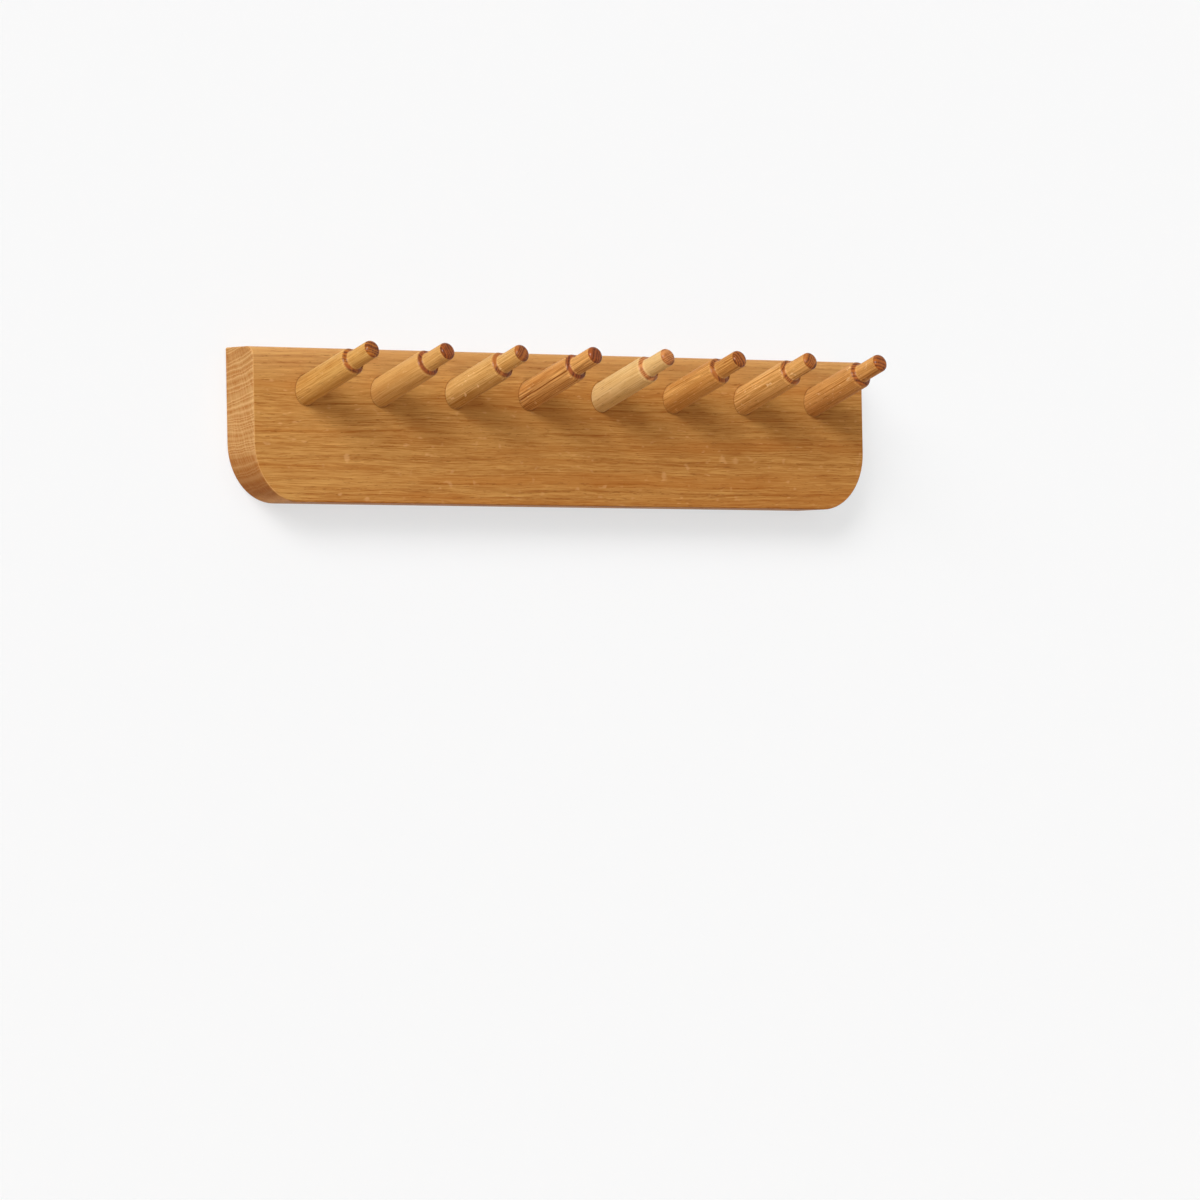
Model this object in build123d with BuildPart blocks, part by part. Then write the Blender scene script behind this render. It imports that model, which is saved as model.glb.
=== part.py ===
from build123d import *
import os

# Wall-hung oak peg rail. Millimetres, +Z up.
# The origin is the middle of the back face, which lies on the wall.
# +X runs along the rail, and the pegs reach out towards -Y.

os.makedirs("parts", exist_ok=True)

# ---- Back board ----------------------------------------------------------
board_length = 600
board_height = 108
board_thickness = 28
bottom_corner_radius = 41.5
top_corner_radius = 3.5
top_front_round = 7       # rounding along the top front edge
eased_edge = 1.2          # sanded round on every other outside edge

# ---- Pegs ----------------------------------------------------------------
peg_count = 8
peg_pitch = 71.4
peg_tilt = 20.5           # degrees that a peg rises above level
peg_height = 78           # bottom of the board to a peg's axis, at the front face
peg_diameter = 20
peg_body_length = 51.5    # board face to the foot of the shoulder, along the axis
neck_diameter = 13
neck_length = 23          # foot of the shoulder to tip
shoulder_run = 1.5        # how far along the axis the shoulder slopes in
shoulder_round = 3        # convex, where the body turns in
neck_cove = 2             # concave, where the neck starts
tip_round = 3.2

# ---- Glued peg sockets ---------------------------------------------------
socket_depth = 18         # along the peg's axis, from the front face
glue_gap = 0.1            # all round the tenon
end_gap = 0.5             # under the tenon
tenon_chamfer = 1.0

# ---- Keyhole hanger plates, let into the back ----------------------------
plate_length = 42
plate_width = 16
plate_thickness = 2
plate_height = 73.5       # bottom of the board to a plate's middle
plate_screw_spacing = 32
plate_recess_gap = 0.3
entry_diameter = 9.5      # lets the wall screw's head in
keyhole_slot_width = 5
keyhole_slot_rise = 9     # entry centre to the slot's upper end
relief_depth = 9          # room for the screw head behind the plate
relief_wall = 1.5         # relief beyond the entry hole, all round

# ---- Countersunk wood screws that hold the plates ------------------------
screw_length = 16
screw_diameter = 3.5
screw_head_diameter = 6.6
screw_head_rim = 0.3
screw_point_length = 3
screw_clearance = 0.05
head_sink = 0.1           # head below the plate's face
cross_recess_width = 1.1
cross_recess_span = 3.8
cross_recess_depth = 1.4

# ---- Places worked out from the sizes above ------------------------------
board_bottom = -board_height / 2
board_top = board_height / 2
front_face = -board_thickness
peg_axis_height = board_bottom + peg_height
first_peg = -peg_pitch * (peg_count - 1) / 2
peg_positions = [first_peg + number * peg_pitch for number in range(peg_count)]

# Each plate hangs midway between the two outer pegs on its side.
plate_offset = -first_peg - peg_pitch / 2
plate_sides = {"left": -plate_offset, "right": plate_offset}
plate_middle = board_bottom + plate_height
screw_heights = [plate_middle + side * plate_screw_spacing / 2 for side in (-1, 1)]
entry_height = plate_middle - keyhole_slot_rise / 2
relief_width = entry_diameter + 2 * relief_wall
relief_length = keyhole_slot_rise + relief_width
head_cone_height = (screw_head_diameter - screw_diameter) / 2

tilt_rise = Vector(0, -1, 0).rotate(Axis.X, -peg_tilt)


def peg_root(x):
    """Where a peg's axis meets the front face of the board."""
    return Vector(x, front_face, peg_axis_height)


def socket_plane(x):
    """Floor of a peg's socket, facing out along the peg."""
    return Plane(origin=peg_root(x) - tilt_rise * socket_depth, x_dir=(1, 0, 0), z_dir=tilt_rise)


def back_plane(x, z):
    """A spot on the back face, facing into the board."""
    return Plane(origin=(x, 0, z), x_dir=(1, 0, 0), z_dir=(0, -1, 0))


def screw_seat(x, z):
    """The space one plate screw takes, cut from the plate and from the board behind it."""
    seat_radius = screw_head_diameter / 2 + screw_clearance
    pilot_radius = screw_diameter / 2 + screw_clearance
    cone_start = -head_sink - screw_head_rim
    with BuildPart() as seat:
        # In this plane X is the radius and -Y runs down the screw.
        with BuildSketch(Plane(origin=(x, 0, z), x_dir=(1, 0, 0), z_dir=(0, 0, 1))):
            with BuildLine():
                Polyline(
                    (0, 0),
                    (seat_radius, 0),
                    (seat_radius, cone_start),
                    (pilot_radius, cone_start - head_cone_height),
                    (pilot_radius, -head_sink - screw_length),
                    (0, -head_sink - screw_length),
                    close=True,
                )
            make_face()
        revolve(axis=Axis((x, 0, z), (0, 1, 0)))
    return seat.part


# ---- Back board ----------------------------------------------------------
with BuildPart() as back_board:
    with BuildSketch(Plane.XZ):
        Rectangle(board_length, board_height)
        corners = vertices().sort_by(Axis.Y)
        fillet(corners[:2], radius=bottom_corner_radius)
        fillet(corners[2:], radius=top_corner_radius)
    extrude(amount=board_thickness)

    # The top front edge is routed round over its whole length.
    with BuildSketch(Plane.YZ.offset(-board_length / 2)):
        with BuildLine():
            Polyline(
                (front_face, board_top - top_front_round),
                (front_face, board_top),
                (front_face + top_front_round, board_top),
            )
            CenterArc(
                (front_face + top_front_round, board_top - top_front_round),
                top_front_round, start_angle=90, arc_size=90,
            )
        make_face()
    extrude(amount=board_length, mode=Mode.SUBTRACT)

    # Every other outside edge is eased. Left alone are the two lines where the rounding
    # runs into the flats, and the edges along Y, which only join flats and arcs.
    rounding_lines = back_board.edges().filter_by(Axis.X).filter_by(
        lambda edge: edge.center().Z > 0 and edge.center().Y < 0
    )
    sharp_edges = [
        edge for edge in back_board.edges().filter_by(Axis.Y, reverse=True)
        if edge not in rounding_lines
    ]
    fillet(sharp_edges, radius=eased_edge)

    # Sockets run in from the front at the pegs' tilt and open past the face.
    socket_run = socket_depth + peg_diameter
    for x in peg_positions:
        with BuildSketch(socket_plane(x)):
            Circle(peg_diameter / 2 + glue_gap)
        extrude(amount=socket_run, mode=Mode.SUBTRACT)

    # Behind each plate: its recess, the relief for a screw head and two screw seats.
    for x in plate_sides.values():
        with BuildSketch(back_plane(x, plate_middle)):
            SlotOverall(
                plate_length + 2 * plate_recess_gap,
                plate_width + 2 * plate_recess_gap,
                rotation=90,
            )
        extrude(amount=plate_thickness, mode=Mode.SUBTRACT)
        with BuildSketch(back_plane(x, plate_middle)):
            SlotOverall(relief_length, relief_width, rotation=90)
        extrude(amount=plate_thickness + relief_depth, mode=Mode.SUBTRACT)
        for z in screw_heights:
            add(screw_seat(x, z), mode=Mode.SUBTRACT)

back_board.part.label = "back_board"
export_step(back_board.part, "parts/back_board.step")


# ---- Pegs ----------------------------------------------------------------
def turned_peg(x):
    """One peg, turned from a single dowel: tenon, body, shoulder and neck."""
    tenon_start = end_gap
    shoulder = socket_depth + peg_body_length
    tip = shoulder + neck_length
    floor = socket_plane(x)
    # The profile's own Y runs along the peg, and its X is the radius.
    profile_plane = Plane(origin=floor.origin, x_dir=(1, 0, 0), z_dir=Vector(1, 0, 0).cross(tilt_rise))
    with BuildPart() as peg:
        with BuildSketch(profile_plane):
            with BuildLine():
                Polyline(
                    (0, tenon_start),
                    (peg_diameter / 2, tenon_start),
                    (peg_diameter / 2, shoulder),
                    (neck_diameter / 2, shoulder + shoulder_run),
                    (neck_diameter / 2, tip),
                    (0, tip),
                    close=True,
                )
            make_face()
            # Each corner is picked afresh, because a chamfer or fillet redraws the outline.
            for radius, along, shape, size in (
                (peg_diameter / 2, tenon_start, chamfer, tenon_chamfer),
                (peg_diameter / 2, shoulder, fillet, shoulder_round),
                (neck_diameter / 2, shoulder + shoulder_run, fillet, neck_cove),
                (neck_diameter / 2, tip, fillet, tip_round),
            ):
                shape(vertices().sort_by_distance((radius, along))[0], size)
        revolve(axis=Axis(floor.origin, tilt_rise))
    return peg


for number, x in enumerate(peg_positions, start=1):
    peg = turned_peg(x)
    peg.part.label = f"peg_{number}"
    export_step(peg.part, f"parts/peg_{number}.step")


# ---- Keyhole hanger plates -----------------------------------------------
def keyhole_plate(x):
    """One pressed steel plate, flush with the back face."""
    with BuildPart() as plate:
        with BuildSketch(back_plane(x, plate_middle)):
            SlotOverall(plate_length, plate_width, rotation=90)
        extrude(amount=plate_thickness)
        with BuildSketch(back_plane(x, entry_height)):
            Circle(entry_diameter / 2)
        extrude(amount=plate_thickness, mode=Mode.SUBTRACT)
        with BuildSketch(back_plane(x, entry_height + keyhole_slot_rise / 2)):
            SlotCenterToCenter(keyhole_slot_rise, keyhole_slot_width, rotation=90)
        extrude(amount=plate_thickness, mode=Mode.SUBTRACT)
        for z in screw_heights:
            add(screw_seat(x, z), mode=Mode.SUBTRACT)
    return plate


for side, x in plate_sides.items():
    plate = keyhole_plate(x)
    plate.part.label = f"keyhole_plate_{side}"
    export_step(plate.part, f"parts/keyhole_plate_{side}.step")


# ---- Plate screws, one group of separate solids --------------------------
def wood_screw(x, z):
    """One countersunk screw with a cross recess, its head just below the plate's face."""
    with BuildPart() as screw:
        with BuildSketch(Plane(origin=(x, -head_sink, z), x_dir=(1, 0, 0), z_dir=(0, 0, 1))):
            with BuildLine():
                Polyline(
                    (0, 0),
                    (screw_head_diameter / 2, 0),
                    (screw_head_diameter / 2, -screw_head_rim),
                    (screw_diameter / 2, -screw_head_rim - head_cone_height),
                    (screw_diameter / 2, screw_point_length - screw_length),
                    (0, -screw_length),
                    close=True,
                )
            make_face()
        revolve(axis=Axis((x, 0, z), (0, 1, 0)))
        with BuildSketch(Plane(origin=(x, -head_sink, z), x_dir=(1, 0, 0), z_dir=(0, -1, 0))):
            Rectangle(cross_recess_span, cross_recess_width)
            Rectangle(cross_recess_width, cross_recess_span)
        extrude(amount=cross_recess_depth, mode=Mode.SUBTRACT)
    return screw.part


with BuildPart() as plate_screws:
    for x in plate_sides.values():
        for z in screw_heights:
            add(wood_screw(x, z))

plate_screws.part.label = "plate_screws"
export_step(plate_screws.part, "parts/plate_screws.step")
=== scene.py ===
# %% [markdown]
# # An oak peg rail, from imported solids to a finished look
# The rail is one planed oak board with eight turned pegs glued into its front, and two
# keyhole plates let into its back so that it hangs on two screws.
# Every solid is already right in shape and size, so this lesson is about the rest: the
# wood, the steel, the light and the camera. Nothing here moves or reshapes a solid.
# We start by loading the imported rail.

# %% Load the imported rail
import math

import bpy
from mathutils import Matrix, Vector

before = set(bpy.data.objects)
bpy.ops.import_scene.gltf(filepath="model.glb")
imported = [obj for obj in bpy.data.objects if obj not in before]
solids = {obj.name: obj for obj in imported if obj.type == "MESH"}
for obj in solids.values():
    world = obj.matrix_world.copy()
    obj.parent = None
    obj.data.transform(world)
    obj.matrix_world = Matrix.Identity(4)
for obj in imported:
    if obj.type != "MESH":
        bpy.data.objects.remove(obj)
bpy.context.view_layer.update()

scene = bpy.context.scene
print("solids:", ", ".join(sorted(solids)))

# %% [markdown]
# ## The camera
# A product shot of a long, thin thing is usually taken from far away with a long lens,
# so that the near end doesn't look bigger than the far end. This camera stands about
# eight metres off, a little below the rail, and looks along it at 44 degrees.
# A Blender camera looks down its own -Z axis. Euler angles tip it up and swing it
# round, and the last turn is about its own view line, as a hand-held camera leans.

# %% Place the camera
LENS_MM = 339.0
SENSOR_MM = 36.0
CAMERA_PLACE = (-5.55911, -5.81473, -0.32726)
SWING, TIP_UP, LEAN = 44.006, 1.470, -1.066  # degrees
SEES_TO = 40.0  # metres

camera_data = bpy.data.cameras.new("rail_camera")
camera_data.lens = LENS_MM
camera_data.sensor_width = SENSOR_MM
camera_data.clip_end = SEES_TO
camera = bpy.data.objects.new("rail_camera", camera_data)
scene.collection.objects.link(camera)

aim = Matrix.Rotation(math.radians(-SWING), 3, "Z")
aim = aim @ Matrix.Rotation(math.radians(90 + TIP_UP), 3, "X")
aim = aim @ Matrix.Rotation(math.radians(LEAN), 3, "Z")
camera.location = CAMERA_PLACE
camera.rotation_euler = aim.to_euler()
scene.camera = camera
print("camera is", round(Vector(CAMERA_PLACE).length, 2), "m from the rail's middle")

# %% [markdown]
# ## Small helpers
# Hex colours are written for a screen, which is not linear. Blender mixes light in
# linear numbers, so one function turns each hex value into linear red, green and blue.
# A second function adds one node to a material: it takes the node's settings, and the
# values or links of its sockets. Every pattern below is built with it.

# %% Colour and node helpers
def linear(hex_colour):
    """Screen hex such as "#C08040" to linear RGBA."""
    channels = [int(hex_colour[i:i + 2], 16) / 255 for i in (1, 3, 5)]
    return [c / 12.92 if c <= 0.04045 else ((c + 0.055) / 1.055) ** 2.4 for c in channels] + [1.0]


def add(tree, kind, sockets=(), stops=(), **settings):
    """Adds one node.

    sockets: its inputs in order, or by name or number. Each is a value, another node's
    output, or another node, which stands for its first output in use.
    stops: the (place, brightness) pairs of a ramp.
    """
    node = tree.nodes.new("ShaderNode" + kind)
    for name, value in settings.items():
        setattr(node, name, value)
    if stops:
        elements = node.color_ramp.elements
        while len(elements) < len(stops):
            elements.new(0.5)
        for element, (place, brightness) in zip(elements, stops):
            element.position = place
            element.color = (brightness, brightness, brightness, 1.0)
    for key, value in sockets.items() if isinstance(sockets, dict) else enumerate(sockets):
        if isinstance(value, bpy.types.Node):
            value = next(output for output in value.outputs if output.enabled)
        if isinstance(value, bpy.types.NodeSocket):
            tree.links.new(value, node.inputs[key])
        else:
            node.inputs[key].default_value = value
    return node


def new_material(name):
    """A new material and its node tree, still empty."""
    material = bpy.data.materials.new(name)
    material.use_nodes = True
    material.node_tree.nodes.clear()
    return material, material.node_tree


print("mid oak in linear light:", [round(c, 3) for c in linear("#C08848")])

# %% [markdown]
# ## Oak as a solid block
# Wood isn't a picture wrapped round a shape. It is a stack of growth rings, cut through,
# so each face shows the same rings in another way: long lines along the grain, and
# curved bands on the sawn end. To get that, the pattern is worked out in the block, in
# millimetres, round the line of the tree's heart, called the pith.
# Most of it is noise that is stretched: a blob that is long along the grain and narrow
# across it looks like a fibre. The tree didn't grow quite straight, so a slow bend, a
# ripple and a fine tremble first push each spot a little to the side.

# %% Noise in millimetres, and grain that bends
MM = 1000.0  # Object coordinates are metres; times this they are millimetres

NOISE_MIDDLE = (0.5, 0.5, 0.5)
ACROSS_SEED = 1.7  # slides the noise further across the grain than along it
# Length, width and push of each bend in mm, and the shift that keeps its noise apart.
BENDS = [
    (190.0, 34.0, 7.0, 3.1),
    (34.0, 7.0, 2.0, 7.7),
    (11.0, 2.4, 0.7, 5.2),
]


def blobs(tree, place, seed, shift, along, across, detail=1.0):
    """Noise whose blobs are `along` mm long and `across` mm wide. `seed` picks the piece of
    wood, and `shift` the layer of its pattern."""
    size = (1 / along, 1 / across, 1 / across)
    slide = (seed + shift, seed * ACROSS_SEED + shift, shift)
    scaled = add(tree, "VectorMath", [place, size, slide], operation="MULTIPLY_ADD")
    return add(tree, "TexNoise", {"Vector": scaled, "Scale": 1.0, "Detail": detail})


def bend_grain(tree, place, seed, bend):
    """Pushes each spot in the log sideways. `bend` is how crooked this piece is."""
    for along, across, push, shift in BENDS:
        noise = blobs(tree, place, seed, shift, along, across, 2.0).outputs["Color"]
        centred = add(tree, "VectorMath", [noise, NOISE_MIDDLE], operation="SUBTRACT")
        sideways = (0.0, push * bend, push * bend)
        place = add(tree, "VectorMath", [centred, sideways, place], operation="MULTIPLY_ADD")
    return place


print("the grain bends by up to", [push for along, across, push, shift in BENDS], "mm")

# %% [markdown]
# ## Growth rings
# Oak is ring-porous. Each spring it grows a band of wide vessels, which take up the oil
# and look dark, and then dense summer wood. The distance to the pith, counted in ring
# widths, says where in its ring a spot lies, and two ramps turn that into the dark early
# wood and the pale line of late wood. Slow noise makes good years wide and bad ones
# narrow.

# %% Rings round the pith
# How strong each is across one ring: (place from inside 0 to outside 1, strength).
EARLY_WOOD = [(0.0, 0.80), (0.08, 1.0), (0.26, 0.35), (0.50, 0.04), (0.86, 0.0), (1.0, 0.80)]
LATE_WOOD = [(0.0, 0.0), (0.50, 0.0), (0.68, 1.0), (0.84, 0.0), (1.0, 0.0)]
YEARS_PER_MM = 0.11  # how fast good and bad years take turns
YEAR_SHIFT = 3.6  # how many rings they crowd or spread


def distance_to_pith(tree, y, z):
    """The pith is the log's X axis."""
    squares = [add(tree, "Math", [side, side], operation="MULTIPLY") for side in (y, z)]
    return add(tree, "Math", [add(tree, "Math", squares, operation="ADD")], operation="SQRT")


def growth_rings(tree, radius, seed, ring_mm):
    """Early and late wood in rings that are `ring_mm` wide on average."""
    years = add(tree, "Math", [radius, YEARS_PER_MM, seed], operation="MULTIPLY_ADD")
    years = add(tree, "TexNoise", {"W": years, "Scale": 1.0, "Detail": 1.0}, noise_dimensions="1D")
    shift = add(tree, "Math", [years, YEAR_SHIFT], operation="MULTIPLY")
    count = add(tree, "Math", [radius, 1 / ring_mm, shift], operation="MULTIPLY_ADD")
    ring = add(tree, "Math", [count], operation="FRACT")
    return add(tree, "ValToRGB", [ring], EARLY_WOOD), add(tree, "ValToRGB", [ring], LATE_WOOD)


for part, stops in (("early", EARLY_WOOD), ("late", LATE_WOOD)):
    peak = max(stops, key=lambda stop: stop[1])[0]
    print(part, "wood is strongest", peak, "of the way through a ring")

# %% [markdown]
# ## Fibres, bands and pores
# A planed board isn't even between its rings. Long soft fibres and short fine ones
# streak it, and slow red and pale bands run along it. The dark ring lines fade in and
# out, because the board was cut at a slight slant.
# Pores are open vessels: dark dashes along the grain, dots on the end, and many of them
# in the early wood. Real ones are 0.2 to 0.3 mm wide. They are drawn at 0.55 mm, because
# finer ones don't show at this distance.

# %% Layers that run along the grain
PORE_LENGTH, PORE_WIDTH = 7.0, 0.55  # mm
PORE_SHIFT = 29.3
PORE_LIMIT, PORE_LIMIT_FALL = 0.68, -0.10  # noise above this is a pore; lower in early wood
PORE_EDGE = 0.08
FINE_WIDTH = 0.55  # of a long fibre's width


def long_layers(tree, place, seed, fibre_mm):
    """Each layer, from 0 to 1, by name."""
    # shift, length and width in mm, detail, the noise at which it starts and is full, and
    # for the ring lines how strong they are at the start and in full
    layers = {
        "line_fade": (41.0, 130.0, 7.0, 1.0, 0.36, 0.62, 0.15, 1.0),
        "long_fibres": (11.3, 75.0, fibre_mm, 2.0, 0.28, 0.72),
        "fine_fibres": (17.9, 20.0, fibre_mm * FINE_WIDTH, 1.0, 0.28, 0.72),
        "red_bands": (19.9, 260.0, 9.0, 1.5, 0.42, 0.72),
        "pale_bands": (23.4, 210.0, 13.0, 1.5, 0.45, 0.75),
    }
    return {
        name: add(tree, "MapRange", [blobs(tree, place, seed, *row[:4]), *row[4:]],
                  interpolation_type="SMOOTHSTEP")
        for name, row in layers.items()
    }


def open_pores(tree, place, seed, early_wood):
    """Pores, from 0 to 1, crowded where the early wood is."""
    limit = add(tree, "Math", [early_wood, PORE_LIMIT_FALL, PORE_LIMIT], operation="MULTIPLY_ADD")
    noise = blobs(tree, place, seed, PORE_SHIFT, PORE_LENGTH, PORE_WIDTH)
    above = add(tree, "Math", [noise, limit], operation="SUBTRACT")
    return add(tree, "MapRange", [above, 0.0, PORE_EDGE], interpolation_type="SMOOTHSTEP")


print("pores are drawn", PORE_WIDTH, "mm wide")

# %% [markdown]
# ## Rays
# Rays are thin sheets that run out from the pith. A face cut along them shows pale
# flecks, and on the sawn end they are fine pale lines. The angle round the pith, times a
# radius, is a width in millimetres, so noise over length, angle and distance gives
# sheets that stand like the pages of an open book.

# %% Rays from the pith
FLECK_NOISE = (0.64, 0.80)  # a fleck starts and is full
END_RAY_NOISE = (0.42, 0.66)


def ray_sheets(tree, x, y, z, radius, rays_mm, true_at):
    """Flecks on the long grain and lines on the end, from 0 to 1. `rays_mm` are a ray's
    length, thickness and height, right at `true_at` mm from the pith."""
    length, thickness, height = rays_mm
    other_way = add(tree, "Math", [z, -1.0], operation="MULTIPLY")
    angle = add(tree, "Math", [y, other_way], operation="ARCTAN2")
    place = add(tree, "CombineXYZ", [
        add(tree, "Math", [x, 1 / length], operation="MULTIPLY"),
        add(tree, "Math", [angle, true_at / thickness], operation="MULTIPLY"),
        add(tree, "Math", [radius, 1 / height], operation="MULTIPLY"),
    ])
    noise = add(tree, "TexNoise", {"Vector": place, "Scale": 1.0, "Detail": 1.0})
    return [
        add(tree, "MapRange", [noise, *limits], interpolation_type="SMOOTHSTEP")
        for limits in (FLECK_NOISE, END_RAY_NOISE)
    ]


print("flecks where the noise passes", FLECK_NOISE, "and end lines where it passes", END_RAY_NOISE)

# %% [markdown]
# ## Long grain or sawn end
# How far a face leans across the grain decides what it shows. Its normal and the grain's
# direction are compared in the piece's own space: 0 is long grain and 1 is a sawn end.
# On a turned tip the oil creeps round the edge, so the end's dark tone starts sooner there. On a
# planed board the rounded arris is painted a little paler: a painted highlight where the light
# catches the edge.

# %% How far a face leans across the grain
TIP_STARTS = (60.0, 66.0)  # mm from the board, along a peg
# Where the painted highlight lies on a rounded arris, by how far its face leans.
ARRIS_HIGHLIGHT_LEAN = (0.08, 0.22)  # an arris starts and is full
ARRIS_HIGHLIGHT_ENDS = (0.32, 0.52)  # and fades into the sawn end


def grain_ends(tree, normal, grain, x, tip_soak, end_from, arris_highlight_share):
    """Shares of sawn end and of the painted highlight on a rounded arris."""
    facing = add(tree, "VectorMath", [normal, grain], operation="DOT_PRODUCT")
    lean = add(tree, "Math", [facing], operation="ABSOLUTE")
    soak = add(tree, "MapRange", [x, *TIP_STARTS, 1.0, tip_soak], interpolation_type="SMOOTHSTEP")
    soaked = add(tree, "Math", [lean, soak], operation="MULTIPLY")
    end = add(tree, "MapRange", [soaked, *end_from], interpolation_type="SMOOTHSTEP")
    rise = add(tree, "MapRange", [lean, *ARRIS_HIGHLIGHT_LEAN, 0.0, arris_highlight_share], interpolation_type="SMOOTHSTEP")
    fall = add(tree, "MapRange", [lean, *ARRIS_HIGHLIGHT_ENDS, 1.0, 0.0], interpolation_type="SMOOTHSTEP")
    return end, add(tree, "Math", [rise, fall], operation="MULTIPLY")


print("a tip starts", TIP_STARTS[0], "mm up a peg")

# %% [markdown]
# ## Oak colours
# Oak has no one colour. Pale wood lies at the bottom, and each layer is laid over it with a
# strength and a tone of its own, as a finisher builds up a stain. The sawn end soaks up more oil,
# so it has its own darker tones. Low on the board's ends it is painted darker and redder still:
# painted shade where the end curves round to face down.

# %% Lay the colours over each other
RING_LINES, LONG_FIBRES, FINE_FIBRES = 0.46, 0.36, 0.40  # strengths on the long grain
RED_BANDS, PALE_BANDS, PORES = 0.50, 0.30, 0.42
END_RED_BANDS, END_RAYS, END_PORES, END_LOWER_SHADE = 0.35, 0.28, 0.34, 0.66
PORE_BROWN, END_PORE_BROWN = "#6E3C14", "#5A2C10"
TOP_LIGHT_FADES = (56.0, 86.0)  # mm from the pith, where the painted light from above fades out
LOWER_END_SHADE_STARTS = (112.0, 146.0)  # mm from the pith, where the painted shade on the lower end fades in


def lay_over(tree, ground, *layers):
    """Lays colours over `ground`: for each a pattern from 0 to 1, its strength and its tone."""
    for pattern, strength, tone in layers:
        share = add(tree, "Math", [pattern, strength], operation="MULTIPLY")
        ground = add(tree, "Mix", {0: share, 6: ground, 7: tone}, data_type="RGBA")
    return ground


def long_grain(tree, wood, fibre_lines, tones, lines, flecks, painted_top_light_share):
    """The colour of a planed or turned face."""
    pale, dark, red, fleck = tones
    fading = add(tree, "Math", [wood["early_wood"], wood["line_fade"]], operation="MULTIPLY")
    ring_lines = add(tree, "Math", [fading, RING_LINES * lines], operation="MULTIPLY")
    dark_lines = add(tree, "Math", [ring_lines, fibre_lines], operation="ADD", use_clamp=True)
    # Painted light from above: the wood is painted paler near the pith, which lies above the board,
    # so the board's top is lighter.
    painted_top_light = add(tree, "MapRange", [wood["radius"], *TOP_LIGHT_FADES, painted_top_light_share, 0.0],
                interpolation_type="SMOOTHSTEP")
    return lay_over(
        tree, pale,
        (dark_lines, 1.0, dark),
        (wood["red_bands"], RED_BANDS, red),
        (wood["pale_bands"], PALE_BANDS, pale),
        (painted_top_light, 1.0, fleck),
        (wood["flecks"], flecks, fleck),
        (wood["pores"], PORES, linear(PORE_BROWN)),
    )


def sawn_end(tree, wood, end_tones, end_lines):
    """The colour of a face cut across the grain."""
    ground, pale, dark = end_tones
    early_share, late_share = end_lines
    # Painted shade: far from the pith, low on the board's ends where they curve to face down, the
    # end is painted darker.
    painted_lower_end_shade = add(tree, "MapRange", [wood["radius"], *LOWER_END_SHADE_STARTS, 0.0, END_LOWER_SHADE],
                    interpolation_type="SMOOTHSTEP")
    return lay_over(
        tree, ground,
        (wood["red_bands"], END_RED_BANDS, dark),
        (wood["early_wood"], early_share, dark),
        (wood["late_wood"], late_share, pale),
        (wood["end_rays"], END_RAYS, pale),
        (painted_lower_end_shade, 1.0, dark),
        (wood["pores"], END_PORES, linear(END_PORE_BROWN)),
    )


print("pore browns:", PORE_BROWN, "on the long grain,", END_PORE_BROWN, "on the end")

# %% [markdown]
# ## Oiled oak
# Hard-wax oil leaves a low sheen, duller where the pores are open, and turned wood is
# smoother than planed wood. Pores and fibres are small grooves, so the same layers that
# colour the wood also drive its roughness and a bump of a tenth of a millimetre.
# A matrix says how each piece lay in its log. A Mapping node does the same turn in the
# material, so one function can make the board's wood and every peg's.

# %% One function for every piece of oak
OIL_IOR = 1.5
FALLOFF_FROM, FALLOFF_TO = -300.0, 60.0  # mm along the grain over which the painted falloff of light comes in
PORE_DULLNESS = 0.12
BUMP_STRENGTH, BUMP_DEPTH = 0.5, 0.0001  # depth in metres
FIBRE_GROOVE = -0.5  # against a pore's 1


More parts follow.
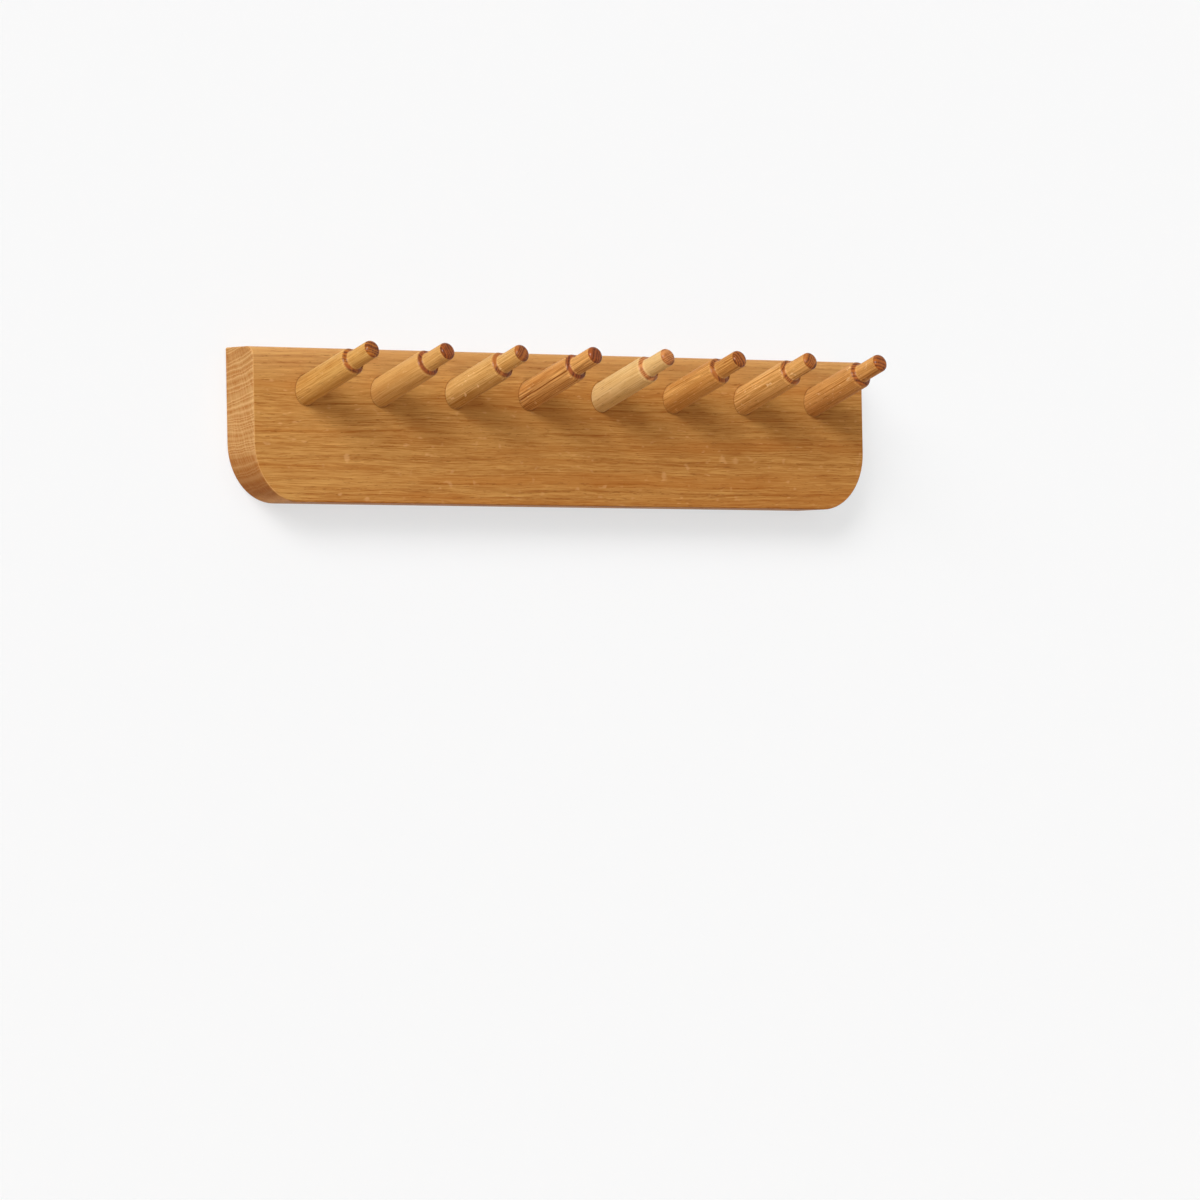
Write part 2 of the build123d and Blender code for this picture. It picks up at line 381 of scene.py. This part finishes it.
def oak(name, into_log, seed, tones, end_tones, ring_mm, lines, fibres=1.0, fibre_mm=1.2,
        bend=1.0, rays_mm=(9.0, 0.8, 22.0), rays_true_at=100.0, flecks=0.34, end_lines=(0.6, 0.6),
        painted_top_light_share=0.0, arris_highlight_share=0.0, tip_soak=1.0, end_from=(0.20, 0.66), painted_falloff_tone="#FFFFFF",
        roughness=0.46, end_roughness=0.50, gloss=0.15):
    """Oil-finished oak.

    into_log: 4x4 matrix from object metres to log millimetres: X along the grain, pith on X.
    seed: picks the piece of wood.
    tones: hex of pale wood, dark lines, red bands and flecks.
    end_tones: hex of the sawn end's ground, its pale lines and its dark lines.
    ring_mm: mean width of a growth ring.
    lines, fibres, flecks: how strongly the ring lines, the fibres and the flecks show.
    fibre_mm: width of a fibre.
    bend: how crooked the grain is.
    rays_mm: a ray's length, thickness and height, right at rays_true_at mm from the pith.
    end_lines: how strongly the dark and the pale lines show on the sawn end.
    painted_top_light_share: how much paler the wood is painted near the pith, which lies above the
    board: painted light from above.
    arris_highlight_share: how much paler a rounded arris is painted, a painted highlight where
    light catches it.
    tip_soak: how much sooner end grain starts on a peg's tip.
    end_from: how far a face leans where its end grain starts to show, and where it is full.
    painted_falloff_tone: the wood is painted towards this tone along its grain, as light that falls
    off towards the far end.
    roughness, end_roughness: of long grain and of end grain.
    gloss: how much the finish reflects.
    """
    material, tree = new_material(name)
    place = add(tree, "TexCoord")
    turn = into_log.to_3x3().normalized()
    log_place = add(tree, "Mapping", {
        "Vector": place.outputs["Object"],
        "Location": into_log.to_translation(),
        "Rotation": turn.to_euler(),
        "Scale": (MM, MM, MM),
    })
    bent = bend_grain(tree, log_place, seed, bend)
    x, y, z = add(tree, "SeparateXYZ", [bent]).outputs

    # What the log holds at each spot, by name.
    radius = distance_to_pith(tree, y, z)
    early_wood, late_wood = growth_rings(tree, radius, seed, ring_mm)
    pores = open_pores(tree, bent, seed, early_wood)
    fleck_share, end_rays = ray_sheets(tree, x, y, z, radius, rays_mm, rays_true_at)
    wood = long_layers(tree, bent, seed, fibre_mm)
    wood.update(radius=radius, early_wood=early_wood, late_wood=late_wood, pores=pores,
                flecks=fleck_share, end_rays=end_rays)
    end, arris_highlight = grain_ends(
        tree, place.outputs["Normal"], Vector(turn[0]), x, tip_soak, end_from, arris_highlight_share)

    # Colour.
    tones = [linear(tone) for tone in tones]
    fine = add(tree, "Math", [wood["fine_fibres"], FINE_FIBRES * fibres], operation="MULTIPLY")
    fibre_lines = add(tree, "Math", [wood["long_fibres"], LONG_FIBRES * fibres, fine],
                      operation="MULTIPLY_ADD")
    side_colour = long_grain(tree, wood, fibre_lines, tones, lines, flecks, painted_top_light_share)
    end_colour = sawn_end(tree, wood, [linear(tone) for tone in end_tones], end_lines)
    # A rounded arris is painted in the fleck tone: a painted highlight.
    colour = lay_over(tree, side_colour, (end, 1.0, end_colour), (arris_highlight, 1.0, tones[-1]))
    # Painted falloff of light: towards the far end the colour is multiplied by a darker tone.
    falloff_shaded = add(tree, "Mix", {0: 1.0, 6: colour, 7: linear(painted_falloff_tone)}, data_type="RGBA",
               blend_type="MULTIPLY")
    falloff_share = add(tree, "MapRange", [x, FALLOFF_FROM, FALLOFF_TO], interpolation_type="SMOOTHSTEP")
    colour = lay_over(tree, colour, (falloff_share, 1.0, falloff_shaded))

    # Sheen and grooves.
    rough = add(tree, "Math", [end, end_roughness - roughness, roughness], operation="MULTIPLY_ADD")
    rough = add(tree, "Math", [pores, PORE_DULLNESS, rough], operation="MULTIPLY_ADD")
    height = add(tree, "Math", [fibre_lines, FIBRE_GROOVE], operation="MULTIPLY")
    height = add(tree, "Math", [height, pores], operation="SUBTRACT")
    bump = add(tree, "Bump", {"Height": height, "Strength": BUMP_STRENGTH, "Distance": BUMP_DEPTH})
    shader = add(tree, "BsdfPrincipled", {
        "Base Color": colour,
        "Roughness": rough,
        "IOR": OIL_IOR,
        "Specular IOR Level": gloss,
        "Normal": bump,
    })
    add(tree, "OutputMaterial", [shader])
    return material


print("oil finish: IOR", OIL_IOR, "with grooves", BUMP_DEPTH * MM, "mm deep")

# %% [markdown]
# ## The board's oak
# The board is planed from one wide plank. Its grain runs along X, and the pith lay above
# it, behind its back face, so the rings show as long lines on the front and as wide
# curves on the ends.

# %% Put oak on the board
PITH_BEHIND, PITH_ABOVE = 5.0, 100.0  # mm from the middle of the back face

board_into_log = Matrix.Translation((0.0, -PITH_BEHIND, -PITH_ABOVE)) @ Matrix.Scale(MM, 4)
# Besides the wood, this board paints light: its top paler as light from above, darker towards the
# right end as light falling off, darker low on the ends as shade, and a highlight on the rounded
# arrises.
board_oak = oak(
    "oiled_oak_board", board_into_log, seed=2.0,
    tones=("#CB9D5A", "#965A24", "#AA6A2C", "#E2B67D"),
    end_tones=("#B08856", "#D0AE7C", "#9C6230"),
    ring_mm=3.6, lines=0.7, painted_top_light_share=0.30, arris_highlight_share=0.35, painted_falloff_tone="#F6F3EE", gloss=0.05,
)
solids["back_board"].material_slots[0].material = board_oak
print("board material:", board_oak.name, "with", len(board_oak.node_tree.nodes), "nodes")

# %% [markdown]
# ## The line round each peg
# A thin darker line is painted on the board round each peg: painted shade in the corner where the
# peg meets the board. Every socket is the same, so one line is worked out and the space is folded
# on itself once per peg: the distance to the nearest peg's axis, seen along that axis, is all that
# the line needs. It is kept to the front of the board.

# %% Painted shade round the pegs
PEG_TILT = math.radians(20.5)
PEG_PITCH = 71.4  # mm, like the next three
PEG_ROOT_Y, PEG_ROOT_Z = -28.0, 24.0
PEG_RADIUS = 10.0
CONTACT_SHADE_STARTS, CONTACT_SHADE_ENDS = 0.3, 1.3  # from the peg's side
CONTACT_SHADE_DEPTH = (1.5, 5.0)  # the line fades out between these, behind the front face
# Colour and strength of the painted shade in the corner round each peg.
CONTACT_SHADE_BROWN, CONTACT_SHADE_SHARE = "#5C3210", 0.35


def paint_contact_shade_round_pegs(material):
    """Paints shade on the front of the board in a thin ring round each socket, in the corner where
    the peg meets it.
    """
    tree = material.node_tree
    shader = next(node for node in tree.nodes if node.type == "BSDF_PRINCIPLED")
    colour_in = shader.inputs["Base Color"]
    place = add(tree, "TexCoord").outputs["Object"]
    in_mm = add(tree, "VectorMath", [place, (MM, MM, MM)], operation="MULTIPLY")
    along, depth, up = add(tree, "SeparateXYZ", [in_mm]).outputs
    folded = add(tree, "Math", [along, PEG_PITCH, 0.0], operation="WRAP")
    beside = add(tree, "Math", [folded, PEG_PITCH / 2], operation="SUBTRACT")
    lift = PEG_ROOT_Y * math.sin(PEG_TILT) + PEG_ROOT_Z * math.cos(PEG_TILT)
    across = add(tree, "Math", [depth, math.sin(PEG_TILT), -lift], operation="MULTIPLY_ADD")
    across = add(tree, "Math", [up, math.cos(PEG_TILT), across], operation="MULTIPLY_ADD")
    offset = add(tree, "CombineXYZ", [beside, across])
    distance = add(tree, "VectorMath", [offset], operation="LENGTH")
    line = [distance, PEG_RADIUS + CONTACT_SHADE_STARTS, PEG_RADIUS + CONTACT_SHADE_ENDS, CONTACT_SHADE_SHARE, 0.0]
    near = add(tree, "MapRange", line, interpolation_type="SMOOTHSTEP")
    fades = [PEG_ROOT_Y + step for step in CONTACT_SHADE_DEPTH]
    at_front = add(tree, "MapRange", [depth, *fades, 1.0, 0.0])
    near = add(tree, "Math", [near, at_front], operation="MULTIPLY")
    bare = colour_in.links[0].from_socket
    contact_shaded = add(tree, "Mix", {0: near, 6: bare, 7: linear(CONTACT_SHADE_BROWN)}, data_type="RGBA")
    tree.links.new(contact_shaded.outputs[2], colour_in)


paint_contact_shade_round_pegs(board_oak)
peg_count = len([name for name in solids if name.startswith("peg_")])
print("glue line round", peg_count, "pegs")

# %% [markdown]
# ## Eight pegs, eight pieces of wood
# Each peg was turned from its own stick of dowel, so no two have the same tone or
# rings. One function makes their wood, and a row of numbers says how each differs.
# A peg's grain runs along its own tilted axis. A matrix turns the object's space so
# that its X runs up the peg, and the pith is put to one side, where the tree's was.
# The lathe leaves the end grain of the tips smooth and burnished, so it shines more.

# %% Peg oak
PEG_RING_MM = 2.8
PEG_FLECK = "#F0D2A0"
SEED_START, SEED_STEP = 10.0, 3.7
peg_axis = Vector((0.0, -math.cos(PEG_TILT), math.sin(PEG_TILT)))


def peg_into_log(number, roll, pith_distance):
    """Object metres to log millimetres for one peg: X runs from the board to the tip."""
    side = Vector((1.0, 0.0, 0.0))
    turn = Matrix((peg_axis, side, peg_axis.cross(side))).to_4x4()
    turn = Matrix.Rotation(math.radians(roll), 4, "X") @ turn
    root = Vector((PEG_PITCH * (number - (peg_count + 1) / 2), PEG_ROOT_Y, PEG_ROOT_Z))
    to_pith = Matrix.Translation((0.0, 0.0, -pith_distance))
    return to_pith @ turn @ Matrix.Translation(-root) @ Matrix.Scale(MM, 4)


# pale wood, dark lines, red bands; the end's ground, pale lines and dark lines; roll of the
# rings, distance to the pith, strength of the ring lines, of the fibres and of the flecks
PEGS = [
    ("#D9B26C", "#A26D2E", "#B5823F", "#8F4B15", "#B67A2E", "#381204", 20, 46, 0.7, 1.2, 0.20),
    ("#D5AD6C", "#A97336", "#B37D3D", "#894415", "#A45B24", "#381204", 75, 60, 0.4, 1.1, 0.20),
    ("#DEB877", "#9F6B2B", "#B7843E", "#85461B", "#AA6A2D", "#3C1605", 130, 38, 0.8, 1.3, 0.60),
    ("#E7B46D", "#7D4415", "#B37534", "#793B16", "#9B531F", "#361003", 120, 42, 1.6, 1.2, 0.40),
    ("#E0C48F", "#BB9353", "#CCA467", "#AA6A37", "#C78D53", "#632E0D", 160, 70, 0.3, 1.1, 0.20),
    ("#DCAC66", "#986127", "#B37939", "#854615", "#AA6827", "#3C1605", 250, 48, 0.9, 1.4, 0.30),
    ("#E2B472", "#A26D2E", "#BB8443", "#914F1B", "#B27230", "#401906", 310, 55, 0.7, 1.4, 0.55),
    ("#D3A160", "#945D26", "#B3793E", "#894717", "#AC6829", "#3C1605", 200, 64, 0.6, 1.3, 0.50),
]
for number, row in enumerate(PEGS, start=1):
    pale, dark, red, end_ground, end_pale, end_dark, roll, pith, lines, fibres, flecks = row
    solids[f"peg_{number}"].material_slots[0].material = oak(
        f"oiled_oak_peg_{number}", peg_into_log(number, roll, pith),
        seed=SEED_START + SEED_STEP * number,
        tones=(pale, dark, red, PEG_FLECK), end_tones=(end_ground, end_pale, end_dark),
        ring_mm=PEG_RING_MM, lines=lines, fibres=fibres, fibre_mm=0.9, bend=0.55,
        rays_mm=(3.5, 1.1, 4.0), rays_true_at=float(pith), flecks=flecks, end_lines=(0.85, 0.55),
        tip_soak=2.0, end_from=(0.30, 0.84), roughness=0.60, end_roughness=0.13,
    )
print("peg materials:", len(PEGS))

# %% [markdown]
# ## Zinc-plated steel
# The keyhole plates are stamped from 2 mm strip, tumbled and zinc plated. Thin zinc is a
# bluish grey metal with a soft, slightly cloudy shine, and fine lines from the rolling
# mill still run along it. The screws are plated too, and then dipped in yellow chromate.

# %% Steel materials
CLOUDS_PER_MM = 0.28  # clouds are 3 to 4 mm wide
CLOUD_NOISE = (0.3, 0.7)
CLOUD_DULLNESS = (-0.06, 0.10)  # added to the roughness where the noise is low and high
LINE_LENGTH = 25.0  # mm
LINE_DEPTH = 0.00003  # metres


def plated_steel(name, colour, cloud_colour, line_mm, roughness):
    """Zinc-plated steel with cloudy plating and rolling lines that run up the plate."""
    material, tree = new_material(name)
    place = add(tree, "TexCoord").outputs["Object"]
    in_mm = add(tree, "Mapping", {"Vector": place, "Scale": (MM, MM, MM)})
    clouds = add(tree, "TexNoise", {
        "Vector": in_mm, "Scale": CLOUDS_PER_MM, "Detail": 3.0, "Roughness": 0.55})
    size = (1 / line_mm, 1 / line_mm, 1 / LINE_LENGTH)
    stretched = add(tree, "VectorMath", [in_mm, size], operation="MULTIPLY")
    lines = add(tree, "TexNoise", {"Vector": stretched, "Scale": 1.0, "Detail": 2.0})
    tones = {0: clouds, 6: linear(colour), 7: linear(cloud_colour)}
    dullness = [roughness + step for step in CLOUD_DULLNESS]
    shader = add(tree, "BsdfPrincipled", {
        "Base Color": add(tree, "Mix", tones, data_type="RGBA"),
        "Roughness": add(tree, "MapRange", [clouds, *CLOUD_NOISE, *dullness]),
        "Normal": add(tree, "Bump", {"Height": lines, "Strength": 0.25, "Distance": LINE_DEPTH}),
        "Metallic": 1.0,
    })
    add(tree, "OutputMaterial", [shader])
    return material


plate_zinc = plated_steel("zinc_plated_steel_strip", "#BFC3C6", "#A3A8AD", 0.5, 0.34)
screw_zinc = plated_steel("zinc_plated_steel_screws", "#C9BD92", "#B3A67C", 0.4, 0.30)
for side in ("left", "right"):
    solids[f"keyhole_plate_{side}"].material_slots[0].material = plate_zinc
solids["plate_screws"].material_slots[0].material = screw_zinc
print("steel materials:", plate_zinc.name, screw_zinc.name)

# %% [markdown]
# ## Wall and floor
# The rail hangs on a plain white wall, so a white sheet stands just behind its back face
# and takes its soft shadow. A pale floor lies far below. Both are only a stage: each is
# clear from its far side, so the back and the underside can be seen as well.
# What the camera sees of them is lifted to an even white, and what they throw back onto
# the rail is a warmer tone, as in a furnished room. Light Path tells the two apart.

# %% Build the stage
BACKGROUND = "#FCFCFC"
WALL_GAP = 0.0004  # metres, like the next three
WALL_SIZE = 18.0
FLOOR_SIZE = 36.0
FLOOR_Z = -1.3


def seen_by_camera(tree):
    """1 for what the camera sees, also in a reflection or through glass, and 0 for light
    that falls on the rail."""
    rays = add(tree, "LightPath").outputs
    seen = add(tree, "Math", [rays["Is Camera Ray"], rays["Is Glossy Ray"]], operation="ADD")
    return add(tree, "Math", [seen, rays["Is Transmission Ray"]], operation="ADD", use_clamp=True)


def stage_paint(name, colour, bounce_colour, glow_colour, glow_share):
    """Matt paint that is clear from behind. The camera sees `colour`, lifted by `glow_share` of
    `glow_colour`, and the rail gets `bounce_colour` from it."""
    material, tree = new_material(name)
    seen = seen_by_camera(tree)
    tones = {0: seen, 6: linear(bounce_colour), 7: linear(colour)}
    paint = add(tree, "BsdfDiffuse", {"Color": add(tree, "Mix", tones, data_type="RGBA")})
    glow = add(tree, "Emission", {"Color": linear(glow_colour), "Strength": 1.0})
    lifted = add(tree, "Math", [seen, glow_share], operation="MULTIPLY")
    front = add(tree, "MixShader", [lifted, paint, glow])
    far_side = add(tree, "NewGeometry").outputs["Backfacing"]
    shadow_ray = add(tree, "LightPath").outputs["Is Shadow Ray"]
    behind = add(tree, "Math", [far_side, shadow_ray], operation="MAXIMUM")
    both = add(tree, "MixShader", [behind, front, add(tree, "BsdfTransparent")])
    add(tree, "OutputMaterial", [both])
    return material


bpy.ops.object.select_all(action="DESELECT")
bpy.ops.mesh.primitive_plane_add(
    size=WALL_SIZE, location=(0, WALL_GAP, 0), rotation=(math.radians(90), 0, 0))
wall = bpy.context.object
wall.name = "wall"
wall.data.materials.append(stage_paint(
    "matt_white_wall", colour="#FFFDFE", bounce_colour="#D8C29D", glow_colour="#F2FAFF",
    glow_share=0.63))
bpy.ops.mesh.primitive_plane_add(size=FLOOR_SIZE, location=(0, 0, FLOOR_Z))
floor = bpy.context.object
floor.name = "floor"
floor.data.materials.append(stage_paint(
    "pale_floor", colour="#ECECEC", bounce_colour="#B19A80", glow_colour=BACKGROUND,
    glow_share=0.60))
print("wall", WALL_GAP * MM, "mm behind the board, floor at", FLOOR_Z, "m")

# %% [markdown]
# ## Light
# One soft light stands above and to the left in front of the rail, so each peg drops a
# blurred shadow down to the right. A stronger one further to the left rakes along the
# wall. A wide one ahead and a faint one overhead soften what those leave dark, and the
# rest is even, slightly warm light from the whole room. Together they light a surface
# that faces them at about full strength, so a colour looks as it was written. A last
# lamp lights only the back.

# %% Light the rail
ROOM_LIGHT = 0.22
ROOM_COLOUR = "#FFE2C4"
LAMP_DISTANCE = 3.0  # only where its symbol stands; a sun is equally bright everywhere
FRONT, BACK = Vector((0, -1, 0)), Vector((0, 1, 0))
# name, where it shines from, the face it is measured on, its share of full strength there
# and how wide it looks from the rail, in degrees
LAMPS = [
    ("key_light", Vector((-1.00, -1.00, 0.95)), FRONT, 0.215, 22),
    ("raking_light", Vector((-1.70, -1.00, 0.90)), FRONT, 0.320, 25),
    ("front_light", Vector((-0.10, -1.00, 0.15)), FRONT, 0.210, 60),
    ("overhead_light", Vector((-0.05, -0.30, 0.95)), FRONT, 0.018, 50),
    ("back_light", Vector((0.35, 0.80, 0.48)), BACK, 0.600, 70),
]


def sun(name, towards, face, share, spread):
    """A far lamp that shines from `towards`, with `share` of full strength on what faces `face`."""
    towards = towards.normalized()
    lamp = bpy.data.lights.new(name, "SUN")
    lamp.energy = share * math.pi / towards.dot(face)
    lamp.angle = math.radians(spread)
    holder = bpy.data.objects.new(name, lamp)
    holder.rotation_euler = towards.to_track_quat("Z", "Y").to_euler()
    holder.location = towards * LAMP_DISTANCE
    scene.collection.objects.link(holder)


for lamp_row in LAMPS:
    sun(*lamp_row)
on_front = ROOM_LIGHT + sum(share for name, towards, face, share, spread in LAMPS if face == FRONT)
print("light on the front face:", round(on_front, 3), "of full strength")

# %% Light from the room
world = bpy.data.worlds.new("pale_room")
world.use_nodes = True
scene.world = world
room = world.node_tree
room.nodes.clear()
light = add(room, "Background", {"Color": linear(ROOM_COLOUR), "Strength": ROOM_LIGHT})
backdrop = add(room, "Background", {"Color": linear(BACKGROUND), "Strength": 1.0})
mixed = add(room, "MixShader", [seen_by_camera(room), light, backdrop])
add(room, "OutputWorld", [mixed])
scene.view_settings.view_transform = "Standard"
print("room light", ROOM_COLOUR, "at", ROOM_LIGHT, "and backdrop", BACKGROUND)
